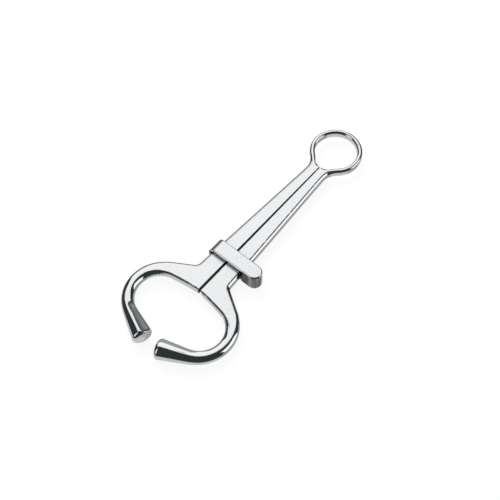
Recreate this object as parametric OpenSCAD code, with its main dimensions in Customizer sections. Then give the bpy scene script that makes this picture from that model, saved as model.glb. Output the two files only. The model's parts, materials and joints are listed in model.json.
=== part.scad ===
// Cattle nose holder: a sprung ring carries two arms with curved jaws, and a slider on the arms shuts them.
// Lengths are in mm and angles in degrees. The ring's eye lies on the Z axis and the jaws point along -Y.

/* [Lead ring] */
// Diameter of the ring's eye
eye_d = 27; // [22:0.2:30]
// Radial thickness of the sprung ring
ring_wall = 3.4; // [2.4:0.1:4.2]
// Height of the ring
ring_h = 5.4; // [5:0.1:7.5]
// Angle of the ring that the roots of the arms take up
root_angle = 86; // [74:1:88]
// Distance from the eye's centre to the point where the eye runs into the slit
eye_point = 16.9; // [15.5:0.1:18]

/* [Arms] */
// Distance from the eye's centre to the throat of the jaws
throat_y = 132.2; // [120:0.2:150]
// Thickness of the flat arms
arm_t = 5.6; // [4.8:0.1:7]
// Distance from the eye's centre to the top of the straight taper
taper_y = 26; // [24:0.5:30]
// Half width of the pair of arms at the top of the taper
taper_w = 7.5; // [7.2:0.1:9.5]
// Slope of each arm's outer side
taper_slope = 3.2; // [2.4:0.05:3.6]
// How far the rounded outer side stands out from the flat faces
side_bulge = 1.8; // [0.8:0.1:2.2]
// Gap between the arms at the ring
slit_ring = 0.5; // [0.4:0.05:1]
// Gap between the arms at the throat
slit_throat = 1.5; // [1.4:0.05:2.2]

/* [Jaws] */
// Clear width between the sides of the jaws
jaw_w = 61.2; // [54:0.2:68]
// Clear depth from the throat to the inner corner of the tips
jaw_depth = 36.5; // [36:0.5:42]
// Radius of the jaw's inner curve
jaw_in_r = 15; // [14:0.1:17]
// Radius of the jaw's outer curve
jaw_out_r = 25; // [24:0.1:28]
// Width of a jaw at its side
jaw_side = 8; // [6.5:0.1:9.5]
// Height of the outer curve's centre above the inner curve's centre
jaw_lift = 0.55; // [0:0.05:2]
// Slope of the edge that runs from the throat into the jaw
throat_slope = 9.5; // [5:0.5:14]
// Slope of the shoulder between the neck and the jaw
shoulder_slope = 32; // [26:0.5:38]
// Radius of the hollow corner between an arm and its shoulder
neck_r = 3.5; // [2:0.1:6]
// How far back the corners are rounded where the slit runs out into the throat
corner_r = 1; // [0.6:0.1:2]
// Diameter of the jaw at its tip
tip_d = 12.8; // [10:0.1:14]
// Gap between the tips
tip_gap = 6.9; // [4.6:0.1:9]
// Slope of the tips away from the throat
tip_slope = 20; // [14:0.5:26]
// Radius of the rounded edge of the tips
tip_edge = 2.6; // [0.6:0.1:3.5]
// Rise of the domed end of the tips
tip_dome = 0.9; // [0.2:0.1:1.5]

/* [Slider] */
// Distance from the throat to the middle of the slider
slider_rest = 29.1; // [24:0.1:45]
// Length of the slider along the arms
slider_l = 9.6; // [8:0.1:14]
// Thickness of the slider's two plates
plate_t = 3.4; // [2.5:0.1:4.5]
// Thickness of the slider's closed side
nose_t = 1.6; // [1.4:0.1:4]
// How far the closed side bulges beyond the flat plates
nose_bulge = 4.4; // [2:0.1:5]
// Reach of the thumb lug beyond the arms
lug_reach = 10.6; // [9:0.1:15]
// Radius of the slider's rounded rims
rim_r = 0.9; // [0.4:0.1:1.4]
// Clearance between the slider and the sides of the arms
side_fit = 0.35; // [0.3:0.05:0.6]
// Clearance between the slider and the flat faces of the arms
face_fit = 0.3; // [0.3:0.05:0.5]
// Diameter of the rivets through the thumb lug
rivet_d = 3; // [2:0.1:3.6]
// Clearance of a rivet in its hole
rivet_fit = 0.04; // [0.02:0.01:0.08]

/* [Hidden] */
$fn = 96;

// Steps along each stretch of an arm, and steps round one side of its section
eye_steps = 8;
root_steps = 4;
neck_steps = 5;
corner_steps = 4;
throat_steps = 3;
shoulder_steps = 6;
curve_steps = 26;
tail_steps = 8;
edge_steps = 4;
side_steps = 12;
// Share of the half width or half height that a fully rounded side takes up
full_round = 0.97;
// Shares of the root's length and of the eye's radius over which the root's two edges bend away
root_share = 0.45;
eye_share = 0.42;
// Share of the root's outer edge that lies beside the eye
root_split = 0.6;
// Angle at which the eye's edge runs into the slit
eye_meet = 12;
// Rounding of the inner side next to the throat and at the end of the shoulder
throat_edge = 0.4;
shoulder_edge = 0.9;
// Pace at which the jaw's sides round off along its curve
round_pace = 2.3;
// How far a trimming shape reaches past what it trims
overshoot = 1;

eye_r = eye_d / 2;
ring_r = eye_r + ring_wall;
arm_h = arm_t / 2;
arm_round = full_round * arm_h;
half_root = root_angle / 2;
throat_depth = jaw_depth + throat_y;

// Half gap of the slit and half width of the pair of arms at a distance from the eye's centre
function slit_x(d) = slit_ring / 2 + (slit_throat - slit_ring) / 2 * (d - eye_point) / (throat_y - eye_point);
function side_x(d) = taper_w + tan(taper_slope) * (d - taper_y);

function mix(a, b, t) = a + (b - a) * t;
function ease(t) = let(c = min(max(t, 0), 1)) c * c * (3 - 2 * c);
function polar(r, a) = r * [cos(a), sin(a)];
function bend(a, b, c, t) = mix(mix(a, b, t), mix(b, c, t), t);
function bend4(a, b, c, d, t) = mix(bend(a, b, c, t), bend(b, c, d, t), t);
function heading(v) = atan2(v[1], v[0]);
// Point where the line from a along heading g meets the line from b along heading h
function crossing(a, g, b, h) =
    let(n = [-sin(h), cos(h)])
    a + polar(1, g) * ((b - a) * n) / (polar(1, g) * n);
// Angle at which the line from p touches the circle of radius r about c
function touch_angle(p, c, r) = heading(p - c) + acos(r / norm(p - c));
// Distance from c along angle a to the circle of radius r about m
function ray_to_circle(c, a, m, r) =
    let(k = polar(1, a) * (m - c))
    k + sqrt(k * k + r * r - (m - c) * (m - c));

// The jaw's curves, seen from above, for the arm on the +X side
throat = [slit_x(throat_y), -throat_y];
in_x = jaw_w / 2 - jaw_in_r;
in_c = [in_x, -throat_y - (in_x - throat[0]) * tan(throat_slope) - jaw_in_r / cos(throat_slope)];
out_c = [jaw_w / 2 + jaw_side - jaw_out_r, in_c[1] + jaw_lift];
tip_in = [tip_gap / 2 + tip_edge * (1 - sin(tip_slope)), -throat_depth];
tip_out = tip_in + polar(tip_d, tip_slope - 90);
tip_turn = touch_angle(tip_in, in_c, jaw_in_r);
curve_start = 90 - shoulder_slope;
curve_end = touch_angle(tip_out, out_c, jaw_out_r);
function curve_in(a) = out_c + polar(ray_to_circle(out_c, a, in_c, jaw_in_r), a);
function curve_out(a) = out_c + polar(jaw_out_r, a);

// The hollow corner of the neck
side_a = [taper_w, -taper_y];
side_heading = taper_slope - 90;
shoulder_a = curve_out(curve_start) + polar(neck_r, curve_start);
neck_c = crossing(side_a + polar(neck_r, taper_slope), side_heading, shoulder_a, -shoulder_slope);
neck_start = 180 + taper_slope;
neck_end = 180 + curve_start;
corner_a = [slit_x(throat_y - corner_r), corner_r - throat_y];
corner_b = throat + polar(corner_r, -throat_slope);
neck_corner_a = heading(corner_a - neck_c) + 360;
neck_corner_b = heading(corner_b - neck_c) + 360;
shoulder_in = crossing(neck_c, neck_end, throat, -throat_slope);

// The root, where the ring runs into an arm
eye_cut = polar(eye_r, half_root - 90);
ring_cut = polar(ring_r, half_root - 90);
eye_end = [slit_x(eye_point), -eye_point];
root_pull = (taper_y - ring_r * cos(half_root)) * root_share;
eye_pull = eye_r * eye_share;
function root_out(t) =
    bend4(ring_cut, ring_cut + polar(root_pull, half_root - 180),
        side_a - polar(root_pull, side_heading), side_a, t);
function root_in(t) =
    bend4(eye_cut, eye_cut + polar(eye_pull, half_root - 180),
        eye_end + polar(eye_pull, eye_meet), eye_end, t);

// One point of a section's side: an arc or half ellipse that stands out by b, or an upright slot's round end
function arc_side(b, h, t) =
    b >= h ? [b * cos(90 * t), h * sin(90 * t)] :
    let(r = (h * h + b * b) / (2 * b), a = asin(h / r))
    [b - r + r * cos(a * t), r * sin(a * t)];
function slot_side(b, h, i) =
    let(half = side_steps / 2, s = sign(half - i), a = 90 * (abs(half - i) - 1) / (half - 1))
    s == 0 ? [b, 0] : [b * cos(a), s * (h - b + b * sin(a))];
function side_point(b, h, slot, i) =
    b == 0 ? [0, h * (1 - 2 * i / side_steps)] :
    mix(arc_side(b, h, 1 - 2 * i / side_steps), slot_side(b, h, i), slot);

// A section of the arm stands on the line from p to q: half height h, inner side b, outer side c
function section(p, q, h, b, c, slot = 0) =
    let(l = norm(q - p), u = (q - p) / l)
    concat(
        [for (i = [0 : side_steps])
            let(s = side_point(c, h, slot, i), w = p + u * (l - c + s[0])) [w[0], w[1], s[1]]],
        [for (i = [side_steps : -1 : 0])
            let(s = side_point(b, h, slot, i), w = p + u * (b - s[0])) [w[0], w[1], s[1]]]
    );

// Sections from the ring to the tip
eye_sections = [for (i = [0 : eye_steps])
    let(t = i / eye_steps, e = ease(t), p = root_in(t), q = root_out(root_split * t),
        r = full_round * min(norm(q - p), ring_wall) / 2)
    section(p, q, mix(ring_h / 2, arm_h, e), mix(r, 0, e), mix(r, side_bulge, e), 1 - e)];
root_sections = [for (i = [1 : root_steps])
    let(t = i / root_steps, d = mix(eye_point, taper_y, t))
    section([slit_x(d), -d], root_out(mix(root_split, 1, t)), arm_h, 0, side_bulge)];
neck_sections = [for (i = [0 : neck_steps])
    let(t = i / neck_steps, d = mix(-neck_c[1], -corner_a[1], t))
    section([slit_x(d), -d], neck_c + polar(neck_r, mix(neck_start, neck_corner_a, t)), arm_h, 0, side_bulge)];
corner_sections = [for (i = [1 : corner_steps])
    let(t = i / corner_steps)
    section(bend(corner_a, throat, corner_b, t),
        neck_c + polar(neck_r, mix(neck_corner_a, neck_corner_b, t)), arm_h, 0, side_bulge)];
throat_sections = [for (i = [1 : throat_steps])
    let(t = i / throat_steps)
    section(mix(corner_b, shoulder_in, t), neck_c + polar(neck_r, mix(neck_corner_b, neck_end, t)),
        arm_h, throat_edge * t, mix(side_bulge, arm_round, ease(t)))];
shoulder_turn = crossing(shoulder_in, -throat_slope, curve_in(curve_start),
    heading(curve_in(curve_start) - in_c) - 90);
shoulder_sections = [for (i = [1 : shoulder_steps - 1])
    let(t = i / shoulder_steps)
    section(bend(shoulder_in, shoulder_turn, curve_in(curve_start), t),
        mix(neck_c + polar(neck_r, neck_end), curve_out(curve_start), t),
        arm_h, mix(throat_edge, shoulder_edge, t), arm_round)];
curve_sections = [for (i = [0 : curve_steps])
    let(t = i / curve_steps, a = mix(curve_start, curve_end, t), p = curve_in(a), q = curve_out(a),
        w = norm(q - p) / 2, e = ease(t * round_pace), r = full_round * w)
    section(p, q, mix(arm_h, w, ease(t)), mix(shoulder_edge, r, e), mix(arm_round, r, e))];
tail_turn = crossing(curve_in(curve_end), heading(curve_in(curve_end) - in_c) - 90,
    tip_in, heading(tip_in - in_c - polar(jaw_in_r, tip_turn)));
tail_sections = [for (i = [1 : tail_steps])
    let(t = i / tail_steps, p = bend(curve_in(curve_end), tail_turn, tip_in, t),
        q = mix(curve_out(curve_end), tip_out, t), w = norm(q - p) / 2, r = full_round * w)
    section(p, q, w, r, r)];
tip_c = (tip_in + tip_out) / 2;
tip_ahead = polar(1, 180 + tip_slope);
tip_r = tip_d / 2;
function tip_section(inset, ahead) =
    let(r = tip_r - inset, u = (tip_out - tip_in) / tip_d, c = tip_c + tip_ahead * ahead)
    section(c - u * r, c + u * r, r, full_round * r, full_round * r);
tip_sections = [for (i = [1 : edge_steps])
    let(a = 90 * i / edge_steps)
    tip_section(tip_edge * (1 - cos(a)), tip_edge * sin(a))];
tip_end = tip_c + tip_ahead * (tip_edge + tip_dome);

arm_sections = concat(eye_sections, root_sections, neck_sections, corner_sections, throat_sections,
    shoulder_sections, curve_sections, tail_sections, tip_sections);

// Skin over a row of sections, closed by a flat fan at the start and a point at the end
module skin(rows, last) {
    n = len(rows[0]);
    m = len(rows);
    first = [for (k = [0 : 2]) ([for (p = rows[0]) p[k]] * [for (p = rows[0]) 1]) / n];
    points = concat([for (row = rows) each row], [first, last]);
    sides = [for (i = [0 : m - 2], j = [0 : n - 1])
        let(a = i * n + j, b = i * n + (j + 1) % n)
        each [[a, b, b + n], [a, b + n, a + n]]];
    start = [for (j = [0 : n - 1]) [m * n, (j + 1) % n, j]];
    end = [for (j = [0 : n - 1]) [m * n + 1, (m - 1) * n + j, (m - 1) * n + (j + 1) % n]];
    polyhedron(points, concat(sides, start, end));
}

// The ring, an upright slot-shaped section swept round the eye
module ring_section() {
    translate([eye_r, -(ring_h - ring_wall) / 2])
        square([ring_wall, ring_h - ring_wall]);
    for (s = [-1, 1])
        translate([eye_r + ring_wall / 2, s * (ring_h - ring_wall) / 2])
            circle(d = ring_wall);
}

module spring_ring() {
    color("silver")
        rotate([0, 0, half_root - 90])
            rotate_extrude(angle = 360 - root_angle)
                ring_section();
}

module right_arm() {
    color("gainsboro")
        skin(arm_sections, [tip_end[0], tip_end[1], 0]);
}

module left_arm() {
    mirror([1, 0, 0])
        right_arm();
}

// The slider's sizes follow the arms that it runs on
slider_y = slider_rest - throat_y;
slot_w = side_x(slider_l / 2 - slider_y) + side_fit;
slot_h = arm_t + 2 * face_fit;
slider_h = slot_h + 2 * plate_t;
nose_r = (slider_h * slider_h / 4 + nose_bulge * nose_bulge) / (2 * nose_bulge);
nose_x = -slot_w - nose_t + nose_r;
plate_x = -slot_w - nose_t + nose_bulge;
lug_x = slot_w + lug_reach - slider_l / 2;
rivet_x = [slot_w + rivet_d, lug_x + slider_l / 2 - rivet_d];

module slab(from, to, height) {
    translate([from, -slider_l / 2, -height / 2])
        cube([to - from, slider_l, height]);
}

// Half of the slider's rounded upright section, and a bar and a round end of that section
module rim_half() {
    translate([0, -slider_h / 2])
        square([slider_l / 2 - rim_r, slider_h]);
    translate([0, rim_r - slider_h / 2])
        square([slider_l / 2, slider_h - 2 * rim_r]);
    for (s = [-1, 1])
        translate([slider_l / 2 - rim_r, s * (slider_h / 2 - rim_r)])
            circle(r = rim_r);
}

module rim_bar(from, to) {
    translate([from, 0, 0])
        rotate([90, 0, 90])
            linear_extrude(to - from)
                for (s = [0, 1])
                    mirror([s, 0])
                        rim_half();
}

module rim_end() {
    translate([lug_x, 0, 0])
        rotate_extrude()
            rim_half();
}

// The lug block's round end, kept clear of the space for the arms
module lug_end(height) {
    intersection() {
        translate([lug_x, 0, 0])
            cylinder(d = slider_l, h = height, center = true);
        translate([slot_w, -slider_l, -height])
            cube([lug_reach + slider_l, 2 * slider_l, 2 * height]);
    }
}

module rivet(x, d) {
    translate([x, 0, 0])
        cylinder(d = d, h = slider_h, center = true);
}

module rivet_holes() {
    for (x = rivet_x)
        rivet(x, rivet_d + 2 * rivet_fit);
}

module slider_yoke() {
    color("silver")
        translate([0, slider_y, 0])
            difference() {
                union() {
                    rim_bar(plate_x, lug_x);
                    rim_end();
                    intersection() {
                        translate([nose_x, 0, 0])
                            rotate([90, 0, 0])
                                cylinder(r = nose_r, h = slider_l, center = true);
                        rim_bar(-slot_w - nose_t - overshoot, plate_x);
                    }
                }
                slab(-slot_w, lug_x + slider_l, slot_h);
                rivet_holes();
            }
}

module slider_lug() {
    color("darkgray")
        translate([0, slider_y, 0])
            difference() {
                union() {
                    slab(slot_w, lug_x, slot_h);
                    lug_end(slot_h);
                }
                rivet_holes();
            }
}

module rivet_inner() {
    color("gray")
        translate([0, slider_y, 0])
            rivet(rivet_x[0], rivet_d);
}

module rivet_outer() {
    color("gray")
        translate([0, slider_y, 0])
            rivet(rivet_x[1], rivet_d);
}

spring_ring();
left_arm();
right_arm();
slider_yoke();
slider_lug();
rivet_inner();
rivet_outer();
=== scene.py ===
"""Plated cattle nose holder: sprung ring, two arms with curved jaws, and a riveted slider."""
import json
import math

import bmesh
import bpy
import numpy as np
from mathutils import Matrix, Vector


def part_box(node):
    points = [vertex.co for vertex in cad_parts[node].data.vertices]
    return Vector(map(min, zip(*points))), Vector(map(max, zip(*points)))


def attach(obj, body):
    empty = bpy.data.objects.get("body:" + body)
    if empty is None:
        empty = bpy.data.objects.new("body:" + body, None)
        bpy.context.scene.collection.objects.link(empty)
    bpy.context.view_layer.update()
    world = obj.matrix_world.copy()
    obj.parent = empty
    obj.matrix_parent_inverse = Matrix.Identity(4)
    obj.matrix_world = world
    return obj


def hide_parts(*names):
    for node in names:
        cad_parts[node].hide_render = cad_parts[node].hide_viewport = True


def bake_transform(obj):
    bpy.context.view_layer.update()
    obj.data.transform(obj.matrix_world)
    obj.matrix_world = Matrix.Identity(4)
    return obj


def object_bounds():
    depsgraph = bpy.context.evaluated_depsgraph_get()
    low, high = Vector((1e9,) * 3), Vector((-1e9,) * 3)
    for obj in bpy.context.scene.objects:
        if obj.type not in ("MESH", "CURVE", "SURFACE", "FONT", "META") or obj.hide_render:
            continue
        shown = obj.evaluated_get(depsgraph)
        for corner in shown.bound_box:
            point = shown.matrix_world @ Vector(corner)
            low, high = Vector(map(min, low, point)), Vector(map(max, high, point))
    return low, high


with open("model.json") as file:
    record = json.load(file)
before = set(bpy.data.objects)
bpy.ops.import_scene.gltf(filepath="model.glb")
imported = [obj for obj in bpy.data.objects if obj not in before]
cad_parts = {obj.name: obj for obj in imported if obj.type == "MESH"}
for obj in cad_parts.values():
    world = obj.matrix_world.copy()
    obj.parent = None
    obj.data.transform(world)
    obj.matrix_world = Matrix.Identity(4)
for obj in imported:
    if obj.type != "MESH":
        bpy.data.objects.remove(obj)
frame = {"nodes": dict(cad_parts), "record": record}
CAD_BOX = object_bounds()

# Sizes below are in mm, and meshes are made in metres
MM = 0.001

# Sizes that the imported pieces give
RING_HIGH = np.array(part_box("spring_ring")[1]) / MM
LEAD_EYE = next(m for m in frame["record"]["mounts"] if m["name"] == "lead_eye")
EYE_R = LEAD_EYE["dims"]["r_mm"]
RING_R = RING_HIGH[1]
RING_H = 2 * RING_HIGH[2]

# The root, where the ring runs into the arms
HALF_ROOT = 43
EYE_POINT = 16.9
ROOT_SHARE = 0.45
EYE_SHARE = 0.42
EYE_MEET = 12
ROOT_SPLIT = 0.6

# The arms
THROAT_Y = 132.2
ARM_H = 2.8
TAPER_Y = 26
TAPER_W = 7.5
TAPER_SLOPE = 3.2
SIDE_BULGE = 1.8
SLIT_RING = 0.5
SLIT_THROAT = 1.5

# The jaws
JAW_W = 61.2
JAW_DEPTH = 36.5
JAW_IN_R = 15
JAW_OUT_R = 25
JAW_SIDE = 8
JAW_LIFT = 0.55
THROAT_SLOPE = 9.5
SHOULDER_SLOPE = 32
NECK_R = 3.5
CORNER_R = 1
TIP_D = 12.8
TIP_GAP = 6.9
TIP_SLOPE = 20
TIP_EDGE = 2.6
TIP_DOME = 0.9
THROAT_EDGE = 0.4
SHOULDER_EDGE = 0.9
ROUND_PACE = 2.3
FULL_ROUND = 0.97
ARM_ROUND = FULL_ROUND * ARM_H

# The flats along the inner top and bottom of the horns, pressed in and left slightly crowned
FACET_START = 0.65
FACET_TILT = 24
FACET_HALF = 30
FACET_SOFT = 0.15
FACET_PRESS = 0.8

# How far polishing has softened the arrises, how far the dark lines painted along them in place of
# their reflections reach onto the flats, and how strongly each half's outer arris shows its painted
# line
ARRIS = 0.8
SLIT_ARRIS = 0.1
LARGEST_ARRIS = 0.3
ROUNDEST_ARRIS = 84
SHARP_TURN = 30
FLATTEST = 0.002
EDGE_LINE = 0.25
EYE_LINE = 0.9
OUTER_DARK_LINE = {-1: 0.4, 1: 1.0}

# How finely the forging is skinned
ARRIS_POINTS = 5
SIDE_POINTS = 38
PROFILE_POINTS = 2 * ARRIS_POINTS + SIDE_POINTS
EDGE_MARKS = np.array((1, 2))
FACE_MARKS = 2 * len(EDGE_MARKS)
MARKS_ACROSS = 6
SLOT_END = 0.4
SLOT_FLAT = 0.1
CREASE_GAP = 0.006
CORNER_FADE = 3
FAIR_ROWS = 16
FAIR_REACH = 3
FAIR_HOLD = 0.06
TINY = 1e-12
STEPS = {"ring": 110, "eye": 44, "root": 24, "arm": 40, "neck": 30, "corner": 16, "throat": 20,
         "shoulder": 30, "curve": 150, "tail": 44, "edge": 12, "dome": 12}


def mix(a, b, t):
    return a + (b - a) * t


def ease(t):
    c = min(max(t, 0), 1)
    return c * c * (3 - 2 * c)


def sin(deg):
    return math.sin(math.radians(deg))


def cos(deg):
    return math.cos(math.radians(deg))


def tan(deg):
    return math.tan(math.radians(deg))


def polar(r, deg):
    return r * np.array((cos(deg), sin(deg)))


def bend(a, b, c, t):
    return mix(mix(a, b, t), mix(b, c, t), t)


def bend4(a, b, c, d, t):
    return mix(bend(a, b, c, t), bend(b, c, d, t), t)


def heading(v):
    return math.degrees(math.atan2(v[1], v[0]))


def crossing(a, g, b, h):
    """Point where the line from a along heading g meets the line from b along heading h."""
    across = np.array((-sin(h), cos(h)))
    return a + polar(1, g) * ((b - a) @ across) / (polar(1, g) @ across)


def touch_angle(p, c, r):
    """Angle at which the line from p touches the circle of radius r about c."""
    return heading(p - c) + math.degrees(math.acos(r / np.linalg.norm(p - c)))


def ray_to_circle(c, a, m, r):
    """Distance from c along angle a to the circle of radius r about m."""
    k = polar(1, a) @ (m - c)
    return k + math.sqrt(k * k + r * r - (m - c) @ (m - c))


# Plan of one half, on the thumb lug's side
def slit_x(d):
    return mix(SLIT_RING, SLIT_THROAT, (d - EYE_POINT) / (THROAT_Y - EYE_POINT)) / 2


THROAT = np.array((slit_x(THROAT_Y), -THROAT_Y))
IN_X = JAW_W / 2 - JAW_IN_R
IN_Y = -THROAT_Y - (IN_X - THROAT[0]) * tan(THROAT_SLOPE) - JAW_IN_R / cos(THROAT_SLOPE)
IN_C = np.array((IN_X, IN_Y))
OUT_C = np.array((JAW_W / 2 + JAW_SIDE - JAW_OUT_R, IN_C[1] + JAW_LIFT))
TIP_IN = np.array((TIP_GAP / 2 + TIP_EDGE * (1 - sin(TIP_SLOPE)), -JAW_DEPTH - THROAT_Y))
TIP_OUT = TIP_IN + polar(TIP_D, TIP_SLOPE - 90)
CURVE_START = 90 - SHOULDER_SLOPE
CURVE_END = touch_angle(TIP_OUT, OUT_C, JAW_OUT_R)


def curve_in(a):
    return OUT_C + polar(ray_to_circle(OUT_C, a, IN_C, JAW_IN_R), a)


def curve_out(a):
    return OUT_C + polar(JAW_OUT_R, a)


SIDE_A = np.array((TAPER_W, -TAPER_Y))
SIDE_HEADING = TAPER_SLOPE - 90
SHOULDER_A = curve_out(CURVE_START) + polar(NECK_R, CURVE_START)
NECK_C = crossing(SIDE_A + polar(NECK_R, TAPER_SLOPE), SIDE_HEADING, SHOULDER_A, -SHOULDER_SLOPE)
NECK_START = 180 + TAPER_SLOPE
NECK_END = 180 + CURVE_START
CORNER_A = np.array((slit_x(THROAT_Y - CORNER_R), CORNER_R - THROAT_Y))
CORNER_B = THROAT + polar(CORNER_R, -THROAT_SLOPE)
NECK_CORNER_A = heading(CORNER_A - NECK_C) + 360
NECK_CORNER_B = heading(CORNER_B - NECK_C) + 360
SHOULDER_IN = crossing(NECK_C, NECK_END, THROAT, -THROAT_SLOPE)
SHOULDER_OUT = NECK_C + polar(NECK_R, NECK_END)
SHOULDER_TURN = crossing(SHOULDER_IN, -THROAT_SLOPE, curve_in(CURVE_START),
                         heading(curve_in(CURVE_START) - IN_C) - 90)
TAIL_TURN = crossing(curve_in(CURVE_END), heading(curve_in(CURVE_END) - IN_C) - 90, TIP_IN,
                     heading(TIP_IN - IN_C - polar(JAW_IN_R, touch_angle(TIP_IN, IN_C, JAW_IN_R))))
EYE_CUT = polar(EYE_R, HALF_ROOT - 90)
RING_CUT = polar(RING_R, HALF_ROOT - 90)
EYE_END = np.array((slit_x(EYE_POINT), -EYE_POINT))
ROOT_PULL = (TAPER_Y - RING_R * cos(HALF_ROOT)) * ROOT_SHARE
EYE_PULL = EYE_R * EYE_SHARE


def root_out(t):
    return bend4(RING_CUT, RING_CUT + polar(ROOT_PULL, HALF_ROOT - 180),
                 SIDE_A - polar(ROOT_PULL, SIDE_HEADING), SIDE_A, t)


def root_in(t):
    return bend4(EYE_CUT, EYE_CUT + polar(EYE_PULL, HALF_ROOT - 180),
                 EYE_END + polar(EYE_PULL, EYE_MEET), EYE_END, t)


def side_profile(bulge, height, soft):
    """Points down one side of a section, as (out, up), and how sharp each one's arris is."""
    bulge = max(bulge, FLATTEST)
    soft = min(soft, LARGEST_ARRIS * height)
    if bulge < height:
        radius = (height ** 2 + bulge ** 2) / (2 * bulge)
        turn = math.degrees(math.asin((height - soft) / (radius - soft)))
    else:
        turn = 90
    first = min(turn, ROUNDEST_ARRIS)
    arris = np.linspace(90, first, ARRIS_POINTS)
    wall = np.linspace(first, -first, SIDE_POINTS + 2)[1:-1]
    angles = np.concatenate((arris, wall, -arris[::-1]))
    c, s = np.cos(np.radians(angles)), np.sin(np.radians(angles))
    if bulge < height:
        pivot = bulge - radius + (radius - soft) * cos(turn)
        on_arris = np.abs(angles) > turn
        out = np.where(on_arris, pivot + soft * c, bulge - radius + radius * c)
        up = np.where(on_arris, np.sign(s) * (height - soft) + soft * s, radius * s)
    else:
        scale = np.sqrt((bulge * c) ** 2 + (height * s) ** 2)
        out, up = bulge ** 2 * c / scale, height ** 2 * s / scale
    sharp = np.zeros(len(angles))
    sharp[:ARRIS_POINTS] = sharp[-ARRIS_POINTS:] = min(1, (90 - turn) / SHARP_TURN)
    return np.stack((out, up), 1), sharp


def slot_profile(bulge, height):
    """Points down one side of an upright slot with round ends."""
    u = np.linspace(0, 1, PROFILE_POINTS)
    middle, low_end = 0.5, 1 - SLOT_END
    turn = np.where(u < middle, 1 - u / SLOT_END, (low_end - u) / SLOT_END)
    turn = np.where((u > SLOT_END) & (u < low_end), 0, np.clip(turn, -1, 1))
    angles = np.radians(90 * turn)
    flat = (height - bulge) * np.clip((middle - u) / SLOT_FLAT, -1, 1)
    return np.stack((bulge * np.cos(angles), flat + bulge * np.sin(angles)), 1)


def faceted(across, up, facet, reach=None):
    """Presses a section's upper and lower inner flanks towards the flats along the horns."""
    tilt = FACET_TILT * facet
    out = np.abs(up) * cos(tilt) - across * sin(tilt)
    over = out - mix(1, cos(FACET_HALF), facet) * (reach or out.max())
    press = FACET_PRESS * (over + np.hypot(over, FACET_SOFT * facet)) / 2
    return across + press * sin(tilt), up - np.sign(up) * press * cos(tilt)


def section(p, q, height, inner, outer, slot=0, slit=0, inner_line=EDGE_LINE, facet=0,
            reach=None):
    """One closed section standing on the plan line from p to q, with marks for the dark lines
    painted along its arrises and for the shade painted on its slit walls.
    """
    length = np.linalg.norm(q - p)
    u = (q - p) / length
    outer_side, outer_sharp = side_profile(outer, height, ARRIS)
    inner_side, inner_sharp = side_profile(inner, height, mix(ARRIS, SLIT_ARRIS, slit))
    if slot:
        outer_side = mix(outer_side, slot_profile(outer, height), slot)
        inner_side = mix(inner_side, slot_profile(inner, height), slot)
    far = length - outer + outer_side[:, 0]
    near = inner - inner_side[:, 0]
    widest = (far[0] - near[0]) / MARKS_ACROSS
    # Rows just inside each arris carry its painted dark line onto the flats
    far_marks = far[0] - min(EDGE_LINE, widest) * EDGE_MARKS
    near_marks = near[0] + min(inner_line, widest) * EDGE_MARKS
    along = np.concatenate((far, far_marks, near_marks[::-1], near[::-1],
                            near_marks, far_marks[::-1]))
    up = np.concatenate((outer_side[:, 1], [-height] * FACE_MARKS,
                         inner_side[::-1, 1], [height] * FACE_MARKS))
    far_sharp, near_sharp = (outer_sharp[0], 0), (inner_sharp[0] * (1 - slit), 0)
    sharp = np.concatenate((outer_sharp, far_sharp, near_sharp[::-1], inner_sharp[::-1],
                            near_sharp, far_sharp[::-1])) * (1 - slot)
    # The slit walls are marked for painted shade
    slit_wall = np.zeros(len(near))
    slit_wall[ARRIS_POINTS:-ARRIS_POINTS] = slit
    slit_mark = np.concatenate((np.zeros(len(far) + FACE_MARKS), slit_wall, np.zeros(FACE_MARKS)))
    if facet:
        across, up = faceted(along - length / 2, up, facet, reach)
        along = across + length / 2
    points = np.column_stack((p[0] + u[0] * along, p[1] + u[1] * along, up))
    return np.column_stack((points, sharp, slit_mark))


def spread(name, first=0, last=1):
    """Shares of a stretch at which its sections stand."""
    return np.linspace(first, last, STEPS[name] + 1)


def crease(name):
    """Shares of a stretch that ends or starts in a crease, with close sections next to it."""
    return np.unique(np.concatenate((spread(name), (CREASE_GAP, 1 - CREASE_GAP))))


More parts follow.
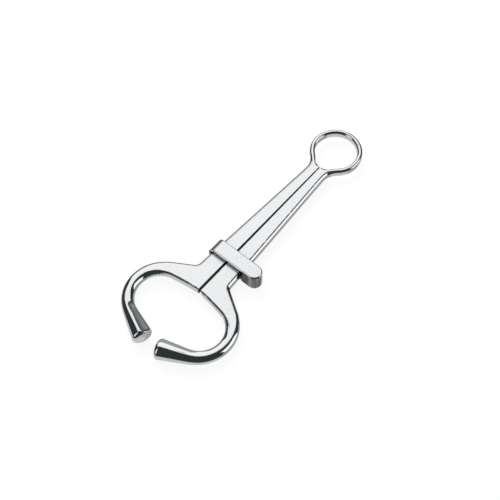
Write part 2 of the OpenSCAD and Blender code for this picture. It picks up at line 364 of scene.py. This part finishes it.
def forging_rows():
    """Sections from the ring's crown to the tip of the jaw."""
    wall = RING_R - EYE_R
    rows = []
    for a in mix(90, HALF_ROOT - 90, spread("ring"))[:-1]:
        rows.append(section(polar(EYE_R, a), polar(RING_R, a), RING_H / 2,
                            FULL_ROUND * wall / 2, FULL_ROUND * wall / 2, slot=1))
    for t in crease("eye"):
        e, p, q = ease(t), root_in(t), root_out(ROOT_SPLIT * t)
        r = FULL_ROUND * min(np.linalg.norm(q - p), wall) / 2
        rows.append(section(p, q, mix(RING_H / 2, ARM_H, e), r * (1 - e), mix(r, SIDE_BULGE, e),
                            slot=1 - e, inner_line=EYE_LINE))
    for t in crease("root")[1:]:
        d = mix(EYE_POINT, TAPER_Y, t)
        rows.append(section(np.array((slit_x(d), -d)), root_out(mix(ROOT_SPLIT, 1, t)),
                            ARM_H, 0, SIDE_BULGE, slit=1))
    neck_top = NECK_C + polar(NECK_R, NECK_START)
    for t in spread("arm")[1:-1]:
        d = mix(TAPER_Y, -NECK_C[1], t)
        rows.append(section(np.array((slit_x(d), -d)), mix(SIDE_A, neck_top, t),
                            ARM_H, 0, SIDE_BULGE, slit=1))
    for t in spread("neck"):
        d = mix(-NECK_C[1], -CORNER_A[1], t)
        out = NECK_C + polar(NECK_R, mix(NECK_START, NECK_CORNER_A, t))
        rows.append(section(np.array((slit_x(d), -d)), out, ARM_H, 0, SIDE_BULGE, slit=1))
    for t in spread("corner")[1:]:
        out = NECK_C + polar(NECK_R, mix(NECK_CORNER_A, NECK_CORNER_B, t))
        rows.append(section(bend(CORNER_A, THROAT, CORNER_B, t), out, ARM_H, 0, SIDE_BULGE,
                            slit=1 - ease(t) ** CORNER_FADE))
    for t in spread("throat")[1:]:
        out = NECK_C + polar(NECK_R, mix(NECK_CORNER_B, NECK_END, t))
        rows.append(section(mix(CORNER_B, SHOULDER_IN, t), out, ARM_H, THROAT_EDGE * t,
                            mix(SIDE_BULGE, ARM_ROUND, ease(t))))
    for t in spread("shoulder")[1:-1]:
        rows.append(section(bend(SHOULDER_IN, SHOULDER_TURN, curve_in(CURVE_START), t),
                            mix(SHOULDER_OUT, curve_out(CURVE_START), t),
                            ARM_H, mix(THROAT_EDGE, SHOULDER_EDGE, t), ARM_ROUND))
    for p_x, p_y, q_x, q_y, height, inner, outer, facet in faired(jaw_sizes()):
        rows.append(section(np.array((p_x, p_y)), np.array((q_x, q_y)), height, inner, outer,
                            facet=facet))
    return rows + tip_rows()


def jaw_sizes():
    """Plan ends, half height, roundings and facet of sections along the jaw's curve and tail."""
    sizes = []
    for t in spread("curve"):
        p, q = curve_in(mix(CURVE_START, CURVE_END, t)), curve_out(mix(CURVE_START, CURVE_END, t))
        w = np.linalg.norm(q - p) / 2
        e = ease(t * ROUND_PACE)
        facet = ease((t - FACET_START) / (1 - FACET_START))
        sizes.append((*p, *q, mix(ARM_H, w, ease(t)), mix(SHOULDER_EDGE, FULL_ROUND * w, e),
                      mix(ARM_ROUND, FULL_ROUND * w, e), facet))
    for t in spread("tail")[1:]:
        p = bend(curve_in(CURVE_END), TAIL_TURN, TIP_IN, t)
        q = mix(curve_out(CURVE_END), TIP_OUT, t)
        w = np.linalg.norm(q - p) / 2
        sizes.append((*p, *q, w, FULL_ROUND * w, FULL_ROUND * w, 1))
    return np.array(sizes)


def faired(sizes):
    """The same run of sizes with its sudden changes of bend smoothed out and its ends kept."""
    smooth = blurred(sizes)
    smooth = smooth + blurred(sizes - smooth)
    share = np.arange(len(sizes)) / (len(sizes) - 1)
    hold = np.clip(np.minimum(share, 1 - share) / FAIR_HOLD, 0, 1)[:, None]
    return mix(sizes, smooth, hold * hold * (3 - 2 * hold))


def blurred(sizes):
    """The same run of sizes, each averaged with its neighbours."""
    half = FAIR_REACH * FAIR_ROWS
    weights = np.exp(-0.5 * (np.arange(-half, half + 1) / FAIR_ROWS) ** 2)
    padded = np.pad(sizes, ((half, half), (0, 0)), mode="reflect", reflect_type="odd")
    columns = [np.convolve(column, weights / weights.sum(), mode="valid") for column in padded.T]
    return np.stack(columns, 1)


TIP_C = (TIP_IN + TIP_OUT) / 2
TIP_AHEAD = polar(1, 180 + TIP_SLOPE)
TIP_END = TIP_C + TIP_AHEAD * (TIP_EDGE + TIP_DOME)


def tip_section(radius, ahead):
    across = (TIP_OUT - TIP_IN) / TIP_D
    centre = TIP_C + TIP_AHEAD * ahead
    return section(centre - across * radius, centre + across * radius, radius,
                   FULL_ROUND * radius, FULL_ROUND * radius, facet=1, reach=TIP_D / 2)


def tip_rows():
    """The rounded edge of the tip and its low dome."""
    rows = []
    for a in 90 * spread("edge")[1:]:
        rows.append(tip_section(TIP_D / 2 - TIP_EDGE * (1 - cos(a)), TIP_EDGE * sin(a)))
    face = TIP_D / 2 - TIP_EDGE
    for t in spread("dome")[1:-1]:
        rows.append(tip_section(face * (1 - t), TIP_EDGE + TIP_DOME * (1 - (1 - t) ** 2)))
    return rows


def grid_normals(points):
    """Normals of a grid that closes round its second axis and mirrors at its first row."""
    before = np.concatenate((points[1:2] * (-1, 1, 1), points[:-1]))
    after = np.concatenate((points[1:], points[-1:] * 2 - points[-2:-1]))
    along = parabola_tangent(points, before, after)
    round_it = parabola_tangent(points, np.roll(points, 1, 1), np.roll(points, -1, 1))
    normals = np.cross(along, round_it)
    return normals / np.linalg.norm(normals, axis=2, keepdims=True)


def parabola_tangent(points, before, after):
    """Direction at the middle one of three points on a smooth curve with uneven steps."""
    back, ahead = points - before, after - points
    back_length = np.linalg.norm(back, axis=2, keepdims=True) + TINY
    ahead_length = np.linalg.norm(ahead, axis=2, keepdims=True) + TINY
    return back / back_length * ahead_length + ahead / ahead_length * back_length


def link(name, mesh):
    obj = bpy.data.objects.new(name, mesh)
    bpy.context.scene.collection.objects.link(obj)
    return obj


def forging_half(name, side):
    """One half of the sprung forging as a closed skin; side is 1 at the thumb lug, else -1."""
    rows = np.array(forging_rows())
    grid, arris, slit = rows[:, :, :3], rows[:, :, 3], rows[:, :, 4]
    count, round_count = arris.shape
    flip = np.array((side, 1, 1))
    normals = grid_normals(grid) * flip
    tip = np.array((*TIP_END, 0)) * flip
    points = np.concatenate(((grid * flip).reshape(-1, 3), [tip])) * MM
    normals = np.concatenate((normals.reshape(-1, 3), [np.array((*TIP_AHEAD, 0)) * flip]))
    faces = []
    for i in range(count - 1):
        for j in range(round_count):
            a, b = i * round_count + j, i * round_count + (j + 1) % round_count
            faces.append((a, b, b + round_count, a + round_count))
    last = (count - 1) * round_count
    for j in range(round_count):
        faces.append((last + j, last + (j + 1) % round_count, len(points) - 1))
    faces.append(tuple(range(round_count - 1, -1, -1)))
    if side > 0:
        faces = [f[::-1] for f in faces]
    mesh = bpy.data.meshes.new(name)
    mesh.from_pydata(points.tolist(), [], faces)
    loop_normals = [normals[v] for f in faces[:-1] for v in f]
    loop_normals += [(-side, 0, 0)] * round_count
    mesh.shade_smooth()
    mesh.normals_split_custom_set(loop_normals)
    # The arris mark carries the dark lines painted along the arrises, stronger on the thumb lug's
    # half; the slit mark carries the shade painted between the arms
    wear_and_line = np.ones(round_count)
    wear_and_line[:PROFILE_POINTS + len(EDGE_MARKS)] = wear_and_line[-len(EDGE_MARKS):] = OUTER_DARK_LINE[side]
    for mark, values in (("arris", arris * wear_and_line), ("slit", slit)):
        attribute = mesh.attributes.new(mark, "FLOAT", "POINT")
        attribute.data.foreach_set("value", np.append(values.ravel(), 0).astype(np.float32))
    return link(name, mesh)


# Slider: how its edges are softened, and where the arms' passage and the rivets are
OUTER_BEVEL = 0.3
SEAM_BEVEL = 0.08
BEVEL_STEPS = 4
BEVEL_ROUND = 0.5
SHARP_EDGE = math.radians(30)
SAME_PLANE = math.radians(0.5)
WELD = 0.002
RIVET_HOLE_R = 1.6
PASSAGE_EDGE = 0.1
LUG_LOW, LUG_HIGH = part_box("slider_lug")
PASSAGE = Vector((LUG_LOW[0], 0, LUG_HIGH[2]))
RIVET_PLACES = [((low.x + high.x) / 2, (low.y + high.y) / 2)
                for low, high in (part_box("rivet_inner"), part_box("rivet_outer"))]


def softened_copy(node, name):
    """A copy of a packed slider piece with its outer edges rounded over and its seams eased."""
    mesh = frame["nodes"][node].data.copy()
    mesh.name = name
    bm = bmesh.new()
    bm.from_mesh(mesh)
    arris = bm.verts.layers.float.new("arris")
    bmesh.ops.remove_doubles(bm, verts=bm.verts, dist=WELD * MM)
    bmesh.ops.dissolve_limit(bm, angle_limit=SAME_PLANE, verts=bm.verts, edges=bm.edges)
    for bevel, on_outside in ((OUTER_BEVEL, True), (SEAM_BEVEL, False)):
        edges = [e for e in bm.edges if e.calc_face_angle(0) > SHARP_EDGE
                 and not in_rivet_hole(e) and is_outer(e) == on_outside]
        rounded = bmesh.ops.bevel(bm, geom=edges, offset=bevel * MM, segments=BEVEL_STEPS,
                                  profile=BEVEL_ROUND, affect="EDGES", clamp_overlap=True)
        faces = set(rounded["faces"])
        for vert in rounded["verts"]:
            vert[arris] = float(on_outside and faces.issuperset(vert.link_faces))
    for face in bm.faces:
        face.smooth = True
    bm.to_mesh(mesh)
    bm.free()
    mesh.materials.clear()
    obj = link(name, mesh)
    obj.modifiers.new("flat_faces_stay_flat", "WEIGHTED_NORMAL").keep_sharp = True
    return obj


def is_outer(edge):
    """Whether an edge lies on the slider's outside, away from the passage for the arms."""
    margin = PASSAGE_EDGE * MM
    return all(abs(v.co.z) > PASSAGE.z + margin or v.co.x < -PASSAGE.x - margin for v in edge.verts)


def in_rivet_hole(edge):
    """Whether an edge lies on the rim of one of the rivet holes."""
    middle = (edge.verts[0].co + edge.verts[1].co) / 2
    return any(math.hypot(middle.x - x, middle.y - y) < RIVET_HOLE_R * MM for x, y in RIVET_PLACES)


# Shader nodes
def feed(tree, node, inputs):
    """Sets a node's inputs to values or joins them to sockets."""
    for key, value in inputs.items():
        if isinstance(value, bpy.types.NodeSocket):
            tree.links.new(value, node.inputs[key])
        else:
            node.inputs[key].default_value = value
    return node


def add(tree, kind, inputs=None, **settings):
    """A new node with its settings and inputs."""
    node = tree.nodes.new("ShaderNode" + kind)
    for key, value in settings.items():
        setattr(node, key, value)
    return feed(tree, node, inputs or {})


def maths(tree, operation, a, b=0.0, clamp=False):
    return add(tree, "Math", {0: a, 1: b}, operation=operation, use_clamp=clamp).outputs[0]


def scaled(tree, value, by, plus):
    """A value times one number plus another."""
    return add(tree, "Math", {0: value, 1: by, 2: plus}, operation="MULTIPLY_ADD").outputs[0]


def between(tree, factor, a, b):
    """A value between a and b."""
    return add(tree, "Mix", {0: factor, 2: a, 3: b}).outputs[0]


def mixed(tree, factor, a, b):
    """A colour between a and b."""
    return add(tree, "Mix", {0: factor, 6: a, 7: b}, data_type="RGBA").outputs[2]


def new_group(name, inputs, outputs):
    """An empty shader node group with float sockets; returns it with its input sockets by name."""
    tree = bpy.data.node_groups.new(name, "ShaderNodeTree")
    new_socket, kind = tree.interface.new_socket, "NodeSocketFloat"
    for socket, value in inputs.items():
        new_socket(socket, in_out="INPUT", socket_type=kind).default_value = value
    for socket in outputs:
        new_socket(socket, in_out="OUTPUT", socket_type=kind)
    return tree, tree.nodes.new("NodeGroupInput").outputs


def close_group(tree, **results):
    feed(tree, tree.nodes.new("NodeGroupOutput"), results)


def place_group(tree, group, inputs):
    node = tree.nodes.new("ShaderNodeGroup")
    node.node_tree = group
    return feed(tree, node, inputs).outputs


def noise(tree, vector, scale, detail=2.0, roughness=0.5, distortion=0.0):
    return add(tree, "TexNoise", {"Vector": vector, "Scale": scale, "Detail": detail,
                                  "Roughness": roughness, "Distortion": distortion}).outputs[0]


def levels(tree, value, low, high):
    """Stretches a value so that low becomes 0 and high becomes 1, with soft ends."""
    return add(tree, "MapRange", {"Value": value, "From Min": low, "From Max": high},
               interpolation_type="SMOOTHSTEP").outputs[0]


def object_place(tree, stretch=(1, 1, 1), turn=0.0):
    """Places on the piece in metres, stretched and turned about the upright axis."""
    place = add(tree, "TexCoord").outputs["Object"]
    return add(tree, "Mapping", {"Vector": place, "Scale": stretch,
                                 "Rotation": (0, 0, math.radians(turn))}).outputs[0]


# Polish: scales are repeats a metre, and a cut holds the levels that become 0 and 1
LINE_SCALE = 1500.0
LINE_STRETCH = (1, 0.03, 1)
WAVE_SCALE = 90.0
SCRATCH_SCALE = 900.0
SCRATCH_STRETCH = (1, 0.02, 1)
SCRATCH_TURNS = (17, -38, 74)
SCRATCH_CUT = (0.70, 0.74)
PATCH_SCALE = 140.0
PATCH_CUT = (0.5, 0.62)

# Handling haze
SMEAR_SCALE = 60.0
SMEAR_STRETCH = (1, 0.5, 1)
SMEAR_TURN = 25
SMEAR_START = 0.75
SMEAR_COVER = 0.35
SMEAR_SOFT = 0.2
FINE_SCALE = 900.0
FINE_CUT = (0.3, 0.7)

# Edge wear on the slider, and the dark lines painted along the forging's arrises in place of their
# reflections
WEAR_AND_LINE_SCALE = 420.0
WEAR_AND_LINE_CUT = (0.2, 0.5)

# How level a surface is where it counts as a flat, and where it is no longer a side wall
FLAT_CUT = (0.985, 0.999)
UPWARD_CUT = (0.25, 0.7)

# Painted shade on the slider's side walls, in place of their dark reflections: streaky, darkest
# beside the arms, lighter towards the lug's end and on the nose, and light over the arms as a
# painted reflection of them, but for a painted shadow line at their foot
STREAK_SCALE = 300.0
STREAK_STRETCH = (1, 1, 0.25)
STREAK_CUT = (0.35, 0.65)
STREAK_LOW = 0.4
SHADE_BESIDE_ARMS = 0.05
SHADE_LIGHTEST = 1.6
SHADE_FADE_REACH = [mix(LUG_LOW[0], LUG_HIGH[0], share) for share in (0.34, 0.66)]
NOSE_SHADE_LIGHTER = 0.6
ARM_REFLECTION_RISE = [PASSAGE.z + rise * MM for rise in (0.7, 1.1)]

# How much rougher haze, rubbed and dark-lined arrises, scratches and the slit make the plating, and
# its relief
HAZE_ROUGH = 0.06
WEAR_AND_LINE_ROUGH = 0.15
SCRATCH_ROUGH = 0.2
SLIT_ROUGH = 0.5
WAVE_RELIEF = {"Strength": 0.25, "Distance": 0.02 * MM}
LINE_RELIEF = {"Strength": 0.3, "Distance": 0.0003 * MM}


def make_polish_group():
    """Buffing lines along the arms, stray hairline scratches and slow waves of hand polishing."""
    tree, given = new_group("polish", {"Line Scale": LINE_SCALE, "Scratches": 0.5},
                            ("Height", "Waves", "Scratch"))
    lines = noise(tree, object_place(tree, LINE_STRETCH), given["Line Scale"],
                  detail=3.0, roughness=0.6)
    waves = noise(tree, object_place(tree), WAVE_SCALE, detail=1.0, roughness=0.4)
    scratch = 0.0
    for turn in SCRATCH_TURNS:
        streak = noise(tree, object_place(tree, SCRATCH_STRETCH, turn), SCRATCH_SCALE, detail=1.0)
        patch = noise(tree, object_place(tree), PATCH_SCALE + turn, detail=1.0)
        mask = maths(tree, "MULTIPLY", levels(tree, streak, *SCRATCH_CUT),
                     levels(tree, patch, *PATCH_CUT))
        scratch = maths(tree, "MAXIMUM", scratch, mask)
    scratch = maths(tree, "MULTIPLY", scratch, given["Scratches"])
    height = maths(tree, "SUBTRACT", lines, scratch)
    close_group(tree, Height=height, Waves=waves, Scratch=scratch)
    return tree


def make_haze_group():
    """Faint smears and dull patches from handling."""
    tree, given = new_group("handling_haze", {"Size": SMEAR_SCALE, "Cover": 0.5}, ("Mask",))
    smear = noise(tree, object_place(tree, SMEAR_STRETCH, SMEAR_TURN), given["Size"],
                  detail=4.0, roughness=0.62, distortion=0.8)
    fine = noise(tree, object_place(tree), FINE_SCALE)
    low = maths(tree, "SUBTRACT", SMEAR_START, maths(tree, "MULTIPLY", given["Cover"], SMEAR_COVER))
    ramp = maths(tree, "DIVIDE", maths(tree, "SUBTRACT", smear, low), SMEAR_SOFT, clamp=True)
    close_group(tree, Mask=maths(tree, "MULTIPLY", ramp, levels(tree, fine, *FINE_CUT)))
    return tree


def make_wear_and_dark_line_group():
    """Where arrises have been rubbed on the slider, and where the forging's arrises get painted
    dark lines in place of their reflections, broken up by noise.
    """
    tree, given = new_group("edge_wear_and_dark_line", {"Amount": 0.5}, ("Mask",))
    arris = add(tree, "Attribute", attribute_name="arris").outputs["Fac"]
    patches = noise(tree, object_place(tree), WEAR_AND_LINE_SCALE, detail=3.0, roughness=0.6)
    broken = maths(tree, "MULTIPLY", arris, levels(tree, patches, *WEAR_AND_LINE_CUT))
    close_group(tree, Mask=maths(tree, "MULTIPLY", broken, given["Amount"]))
    return tree


def make_facing_group():
    """Masks of the flats, which are left satin, and of all that is not a side wall."""
    tree, given = new_group("facing", {"Normal Z": 0.0}, ("Flat", "Upward"))
    level = maths(tree, "ABSOLUTE", given["Normal Z"])
    close_group(tree, Flat=levels(tree, level, *FLAT_CUT), Upward=levels(tree, level, *UPWARD_CUT))
    return tree


POLISH = make_polish_group()
HAZE = make_haze_group()
WEAR_AND_DARK_LINE = make_wear_and_dark_line_group()
FACING = make_facing_group()


def painted_wall_shade(tree, upward, side_shade):
    """What the slider's side walls keep of their colour: painted shade in place of their dark
    reflections.

    The painted shade is streaky and darkest beside the arms. Walls over the arms stay light as a
    painted reflection of the arms, but for a painted shadow line at their foot.
    """
    streaks = noise(tree, object_place(tree, STREAK_STRETCH), STREAK_SCALE, roughness=0.6)
    streaky = scaled(tree, levels(tree, streaks, *STREAK_CUT), side_shade, side_shade * STREAK_LOW)
    place = add(tree, "SeparateXYZ", {0: object_place(tree)}).outputs
    on_nose = maths(tree, "LESS_THAN", place["X"], -PASSAGE.x)
    lighter_share = maths(tree, "MAXIMUM", levels(tree, place["X"], *SHADE_FADE_REACH),
                  maths(tree, "MULTIPLY", on_nose, NOSE_SHADE_LIGHTER))
    wall = maths(tree, "MULTIPLY", streaky, between(tree, lighter_share, SHADE_BESIDE_ARMS, SHADE_LIGHTEST))
    over_arms = maths(tree, "LESS_THAN", maths(tree, "ABSOLUTE", place["X"]), PASSAGE.x)
    above = levels(tree, maths(tree, "ABSOLUTE", place["Z"]), *ARM_REFLECTION_RISE)
    painted_arm_reflection = maths(tree, "MULTIPLY", over_arms, above)
    return maths(tree, "MAXIMUM", between(tree, upward, wall, 1.0), painted_arm_reflection)


def plated_finish(name, plate, worn_and_line_colour, smooth, dull, scratches, wear_and_line, satin, side_shade=None, slit=None):
    """Polished plating with buffing lines, scratches, handling haze, rubbed arrises and painted
    shade.

    Flats are duller than the rest and partly satin. The edge colour paints rubbed arrises on the
    slider, and on the
    forging it is near black: dark lines painted along the arrises in place of their reflections.
    The slit colour paints near-black shade on the walls between the arms, and the slider's side
    walls get painted shade.
    """
    material = bpy.data.materials.new(name)
    material.use_nodes = True
    tree = material.node_tree
    shader = tree.nodes["Principled BSDF"]
    polish = place_group(tree, POLISH, {"Scratches": scratches})
    haze = place_group(tree, HAZE, {})["Mask"]
    wear_and_line_mask = place_group(tree, WEAR_AND_DARK_LINE, {"Amount": wear_and_line})["Mask"]
    normal = add(tree, "SeparateXYZ", {0: add(tree, "NewGeometry").outputs["Normal"]}).outputs
    facing = place_group(tree, FACING, {"Normal Z": normal["Z"]})
    # On the slider the edge colour paints rubbed arrises; on the forging it paints near-black lines
    # along the arrises in place of their reflections
    colour = mixed(tree, wear_and_line_mask, (*plate, 1), (*worn_and_line_colour, 1))
    # Painted shade on the slider's side walls, in place of their dark reflections
    if side_shade:
        shade = painted_wall_shade(tree, facing["Upward"], side_shade)
        colour = mixed(tree, shade, (0, 0, 0, 1), colour)
    rough = scaled(tree, facing["Flat"], dull - smooth, smooth)
    for mask, rougher in ((haze, HAZE_ROUGH), (wear_and_line_mask, WEAR_AND_LINE_ROUGH),
                          (polish["Scratch"], SCRATCH_ROUGH)):
        rough = maths(tree, "ADD", rough, maths(tree, "MULTIPLY", mask, rougher))
    # Painted near-black shade on the walls of the slit between the arms, which are also rougher
    if slit:
        mark = add(tree, "Attribute", attribute_name="slit").outputs["Fac"]
        colour = mixed(tree, mark, colour, (*slit, 1))
        rough = maths(tree, "ADD", rough, maths(tree, "MULTIPLY", mark, SLIT_ROUGH), clamp=True)
    waves = add(tree, "Bump", {"Height": polish["Waves"], **WAVE_RELIEF}).outputs[0]
    lines = add(tree, "Bump", {"Height": polish["Height"], "Normal": waves, **LINE_RELIEF})
    feed(tree, shader, {"Base Color": colour, "Roughness": rough, "Normal": lines.outputs[0],
                        "Metallic": scaled(tree, facing["Flat"], -satin, 1)})
    return material


# Camera, as the photograph was taken
CAMERA_AZIMUTH = 40.1
CAMERA_ELEVATION = 60
CAMERA_TARGET = Vector((4.3, -90.62, 0)) * MM
CAMERA_DISTANCE = 668.8 * MM
CAMERA_LENS = 79.2
CAMERA_SENSOR = 36


def place_camera():
    data = bpy.data.cameras.new("camera")
    data.lens = CAMERA_LENS
    data.sensor_width = CAMERA_SENSOR
    camera = bpy.data.objects.new("camera", data)
    back = Vector((sin(CAMERA_AZIMUTH) * cos(CAMERA_ELEVATION),
                   -cos(CAMERA_AZIMUTH) * cos(CAMERA_ELEVATION), sin(CAMERA_ELEVATION)))
    camera.location = CAMERA_TARGET + back * CAMERA_DISTANCE
    camera.rotation_euler = back.to_track_quat("Z", "Y").to_euler()
    bpy.context.scene.collection.objects.link(camera)
    bpy.context.scene.camera = camera


# Studio: panels by their angles as seen from the holder, turning right from straight behind it
PANELS = {
    "back": {"turn": (-34, 17.5), "rise": (19, 74), "light": 1.1},
    "back_low": {"turn": (-34, 17.5), "rise": (2, 22), "light": 0.35},
    "back_left": {"turn": (-58, -34), "rise": (36, 72), "light": 1.0},
    "back_right_top": {"turn": (16, 44), "rise": (42, 76), "light": 1.0},
    "back_right": {"turn": (13, 46), "rise": (4, 42), "light": 0.3, "edge": 16.0},
    "right": {"turn": (77, 122), "rise": (4, 46), "light": 1.2},
    "table_right": {"turn": (62, 128), "rise": (-110, 3), "light": 0.36},
    "left_top": {"turn": (-76, -58), "rise": (44, 68), "light": 0.8},
    "left_front": {"turn": (-136, -106), "rise": (0, 58), "light": 0.95},
    "table": {"turn": (-200, 72), "rise": (-110, -15), "light": 0.62, "edge": 11.0},
    "table_front": {"turn": (118, 200), "rise": (-110, -15), "light": 0.62, "edge": 11.0},
}
PANEL_EDGE = 2.0
ROOM = (0.033, 0.041, 0.041, 1)
SOFT_LIGHT = 0.66

# Lamp and table, with lengths in metres
LAMP_TURN = -25
LAMP_RISE = 48
LAMP_DISTANCE = 0.9
LAMP_SIZE = 0.7
LAMP_POWER = 5.2
FLOOR_COLOUR = (0.55, 0.55, 0.55, 1)
FLOOR_SHARE = 0.27
FLOOR_WHITE = 1.2
FLOOR_SIZE = 3.0


def make_panel_group():
    """One lit panel of the studio as a soft-edged patch of directions."""
    tree, given = new_group("studio_panel", {
        "Turn": 0.0, "Turn Middle": 0.0, "Turn Half": 1.0,
        "Rise": 0.0, "Rise Middle": 0.0, "Rise Half": 1.0, "Edge": PANEL_EDGE}, ("Mask",))
    masks = []
    for way in ("Turn", "Rise"):
        off = maths(tree, "ABSOLUTE", maths(tree, "SUBTRACT", given[way], given[way + " Middle"]))
        inside = maths(tree, "SUBTRACT", given[way + " Half"], off)
        masks.append(maths(tree, "DIVIDE", inside, given["Edge"], clamp=True))
    close_group(tree, Mask=maths(tree, "MULTIPLY", *masks))
    return tree


def light_studio():
    """White to the camera, panels, table and dark room to the plating, even light to the rest."""
    world = bpy.data.worlds.new("studio")
    bpy.context.scene.world = world
    world.use_nodes = True
    world.cycles.sampling_method = "NONE"
    tree = world.node_tree
    way = add(tree, "Mapping", {"Vector": add(tree, "TexCoord").outputs["Generated"],
                                "Rotation": (0, 0, math.radians(-CAMERA_AZIMUTH))}).outputs[0]
    parts = add(tree, "SeparateXYZ", {0: way}).outputs
    degree = math.degrees(1)
    turn = maths(tree, "MULTIPLY", maths(tree, "ARCTAN2", parts["X"], parts["Y"]), degree)
    rise = maths(tree, "MULTIPLY", maths(tree, "ARCSINE", parts["Z"]), degree)
    panel = make_panel_group()
    glow = 0.0
    for given in PANELS.values():
        (left, right), (low, high) = given["turn"], given["rise"]
        mask = place_group(tree, panel, {
            "Turn": turn, "Turn Middle": (left + right) / 2, "Turn Half": (right - left) / 2,
            "Rise": rise, "Rise Middle": (low + high) / 2, "Rise Half": (high - low) / 2,
            "Edge": given.get("edge", PANEL_EDGE)})["Mask"]
        glow = maths(tree, "MAXIMUM", maths(tree, "MULTIPLY", mask, given["light"]), glow)
    studio = add(tree, "Mix", {0: 1.0, 6: glow, 7: ROOM}, data_type="RGBA", blend_type="ADD")
    path = add(tree, "LightPath").outputs
    shiny = maths(tree, "MAXIMUM", path["Is Glossy Ray"], path["Is Transmission Ray"])
    seen = mixed(tree, shiny, (SOFT_LIGHT, SOFT_LIGHT, SOFT_LIGHT, 1), studio.outputs[2])
    seen = mixed(tree, path["Is Camera Ray"], seen, (1, 1, 1, 1))
    tree.links.new(seen, tree.nodes["Background"].inputs["Color"])


def hang_lamp():
    """The lamp behind the holder that casts its shadow forward; the plating does not mirror it."""
    data = bpy.data.lights.new("lamp", "AREA")
    data.size = LAMP_SIZE
    data.energy = LAMP_POWER
    lamp = bpy.data.objects.new("lamp", data)
    way = 90 + CAMERA_AZIMUTH - LAMP_TURN
    back = Vector((cos(way) * cos(LAMP_RISE), sin(way) * cos(LAMP_RISE), sin(LAMP_RISE)))
    lamp.location = CAMERA_TARGET + back * LAMP_DISTANCE
    lamp.rotation_euler = back.to_track_quat("Z", "Y").to_euler()
    lamp.visible_glossy = False
    lamp.visible_camera = False
    bpy.context.scene.collection.objects.link(lamp)


def lay_floor():
    """A pale table, lifted to white for the camera but still taking the holder's shadow.

    The plating mirrors the studio's table panels instead of it.
    """
    mesh = bpy.data.meshes.new("floor")
    half, z = FLOOR_SIZE / 2, CAD_BOX[0][2]
    corners = [(-half, -half, z), (half, -half, z), (half, half, z), (-half, half, z)]
    mesh.from_pydata(corners, [], [(0, 1, 2, 3)])
    floor = link("floor", mesh)
    material = bpy.data.materials.new("pale_table")
    material.use_nodes = True
    tree = material.node_tree
    shader = tree.nodes["Principled BSDF"]
    shader.inputs["Base Color"].default_value = FLOOR_COLOUR
    shader.inputs["Roughness"].default_value = 1
    shader.inputs["Specular IOR Level"].default_value = 0
    lift = maths(tree, "MULTIPLY", add(tree, "LightPath").outputs["Is Camera Ray"], 1 - FLOOR_SHARE)
    white = add(tree, "Emission", {"Color": (1, 1, 1, 1), "Strength": FLOOR_WHITE})
    blend = add(tree, "MixShader", {0: lift, 1: shader.outputs[0], 2: white.outputs[0]})
    tree.links.new(blend.outputs[0], tree.nodes["Material Output"].inputs["Surface"])
    mesh.materials.append(material)
    floor.visible_glossy = False


# The forging
left_half = forging_half("left_half", -1)
right_half = forging_half("right_half", 1)
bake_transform(left_half)
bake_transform(right_half)
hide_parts("left_arm", "spring_ring")
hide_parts("right_arm", "spring_ring")
# Near black at the arrises and in the slit: dark lines painted along the arrises in place of their
# reflections, and painted shade between the arms
forging_plate = plated_finish("forging_plate", plate=(0.78, 0.79, 0.8), worn_and_line_colour=(0.06, 0.06, 0.065),
                              smooth=0.045, dull=0.24, scratches=0.5, wear_and_line=0.95, satin=0.35,
                              slit=(0.03, 0.03, 0.032))
for half in (left_half, right_half):
    half.data.materials.append(forging_plate)

# The slider
# The slider's side walls get painted shade in place of their dark reflections
slider_plate = plated_finish("slider_plate", plate=(0.76, 0.77, 0.78), worn_and_line_colour=(0.6, 0.59, 0.57),
                             smooth=0.06, dull=0.22, scratches=0.8, wear_and_line=0.5, satin=0.3,
                             side_shade=0.2)
rivet_plate = plated_finish("rivet_plate", plate=(0.74, 0.75, 0.76), worn_and_line_colour=(0.68, 0.66, 0.62),
                            smooth=0.07, dull=0.22, scratches=0.6, wear_and_line=0.5, satin=0.3)
for node, name in (("slider_yoke", "slider_body"), ("slider_lug", "thumb_lug")):
    piece = softened_copy(node, name)
    piece.data.materials.append(slider_plate)
    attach(piece, "slider")
    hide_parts(node)
for node in ("rivet_inner", "rivet_outer"):
    rivet = frame["nodes"][node]
    rivet.data.materials.clear()
    rivet.data.materials.append(rivet_plate)

place_camera()
light_studio()
hang_lamp()
lay_floor()
bpy.context.scene.view_settings.view_transform = "Standard"
